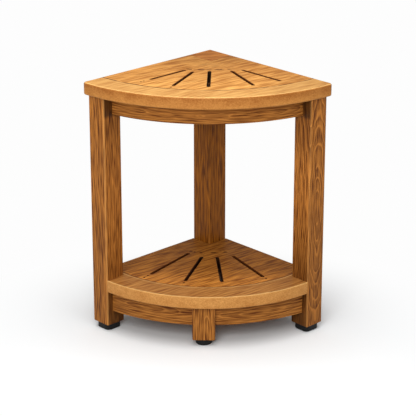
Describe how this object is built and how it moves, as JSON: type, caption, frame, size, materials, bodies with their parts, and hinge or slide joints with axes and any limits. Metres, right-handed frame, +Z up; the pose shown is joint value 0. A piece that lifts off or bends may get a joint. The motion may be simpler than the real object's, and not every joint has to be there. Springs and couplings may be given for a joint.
{
  "type": "corner shower bench",
  "caption": "Quarter-round teak corner bench with a slatted seat, a slatted lower shelf, curved aprons and levelling feet that screw out to stand it level.",
  "frame": {"origin": "on the floor, under the middle of the bench's outline", "axes": "+Z up; the curved front faces -Y; the room's corner is at +Y; the two straight sides run from there at 45 degrees to the left and to the right"},
  "size_m": [0.424, 0.3131, 0.457],
  "materials": {
    "frame_teak": "oiled",
    "seat_teak": "oiled",
    "shelf_teak": "oiled",
    "dowel_wood": "plain",
    "steel": "stainless",
    "brass": "plain",
    "rubber": "matte"
  },
  "bodies": {
    "bench_frame": {"leg_back": "frame_teak", "leg_left": "frame_teak", "leg_right": "frame_teak", "front_post": "frame_teak", "upper_rail_left": "frame_teak", "upper_rail_right": "frame_teak", "lower_rail_left": "frame_teak", "lower_rail_right": "frame_teak", "upper_apron": "frame_teak", "lower_apron_left": "frame_teak", "lower_apron_right": "frame_teak", "seat_rim": "seat_teak", "seat_board_left": "seat_teak", "seat_board_right": "seat_teak", "seat_corner_block": "seat_teak", "seat_hub": "seat_teak", "seat_slat_1": "seat_teak", "seat_slat_2": "seat_teak", "seat_slat_3": "seat_teak", "seat_slat_4": "seat_teak", "shelf_rim": "shelf_teak", "shelf_board_left": "shelf_teak", "shelf_board_right": "shelf_teak", "shelf_hub": "shelf_teak", "shelf_slat_1": "shelf_teak", "shelf_slat_2": "shelf_teak", "shelf_slat_3": "shelf_teak", "seat_dowels": "dowel_wood", "shelf_dowels": "dowel_wood", "seat_screws": "steel", "shelf_screws": "steel", "threaded_inserts": "brass"},
    "pad_back": {"foot_pad_back": "rubber"},
    "stud_back": {"foot_stud_back": "steel"},
    "pad_left": {"foot_pad_left": "rubber"},
    "stud_left": {"foot_stud_left": "steel"},
    "pad_right": {"foot_pad_right": "rubber"},
    "stud_right": {"foot_stud_right": "steel"},
    "pad_post": {"foot_pad_post": "rubber"},
    "stud_post": {"foot_stud_post": "steel"}
  },
  "joints": [
    {"name": "pad_travel_back", "type": "slide", "parent": "bench_frame", "child": "pad_back", "axis": [0, 0, -1], "range_m": [0, 0.01]},
    {"name": "stud_turn_back", "type": "hinge", "parent": "pad_back", "child": "stud_back", "pos_m": [0, 0.12277, 0.02], "axis": [0, 0, -1], "range_deg": [0, 2880]},
    {"name": "pad_travel_left", "type": "slide", "parent": "bench_frame", "child": "pad_left", "axis": [0, 0, -1], "range_m": [0, 0.01]},
    {"name": "stud_turn_left", "type": "hinge", "parent": "pad_left", "child": "stud_left", "pos_m": [-0.17727, -0.05755, 0.02], "axis": [0, 0, -1], "range_deg": [0, 2880]},
    {"name": "pad_travel_right", "type": "slide", "parent": "bench_frame", "child": "pad_right", "axis": [0, 0, -1], "range_m": [0, 0.01]},
    {"name": "stud_turn_right", "type": "hinge", "parent": "pad_right", "child": "stud_right", "pos_m": [0.17727, -0.05755, 0.02], "axis": [0, 0, -1], "range_deg": [0, 2880]},
    {"name": "pad_travel_post", "type": "slide", "parent": "bench_frame", "child": "pad_post", "axis": [0, 0, -1], "range_m": [0, 0.01]},
    {"name": "stud_turn_post", "type": "hinge", "parent": "pad_post", "child": "stud_post", "pos_m": [-0.005, -0.12459, 0.02], "axis": [0, 0, -1], "range_deg": [0, 2880]}
  ],
  "couplings": [
    {"joint": "stud_turn_back", "follows": "pad_travel_back", "rad_per_m": 5026.5},
    {"joint": "stud_turn_left", "follows": "pad_travel_left", "rad_per_m": 5026.5},
    {"joint": "stud_turn_right", "follows": "pad_travel_right", "rad_per_m": 5026.5},
    {"joint": "stud_turn_post", "follows": "pad_travel_post", "rad_per_m": 5026.5}
  ]
}
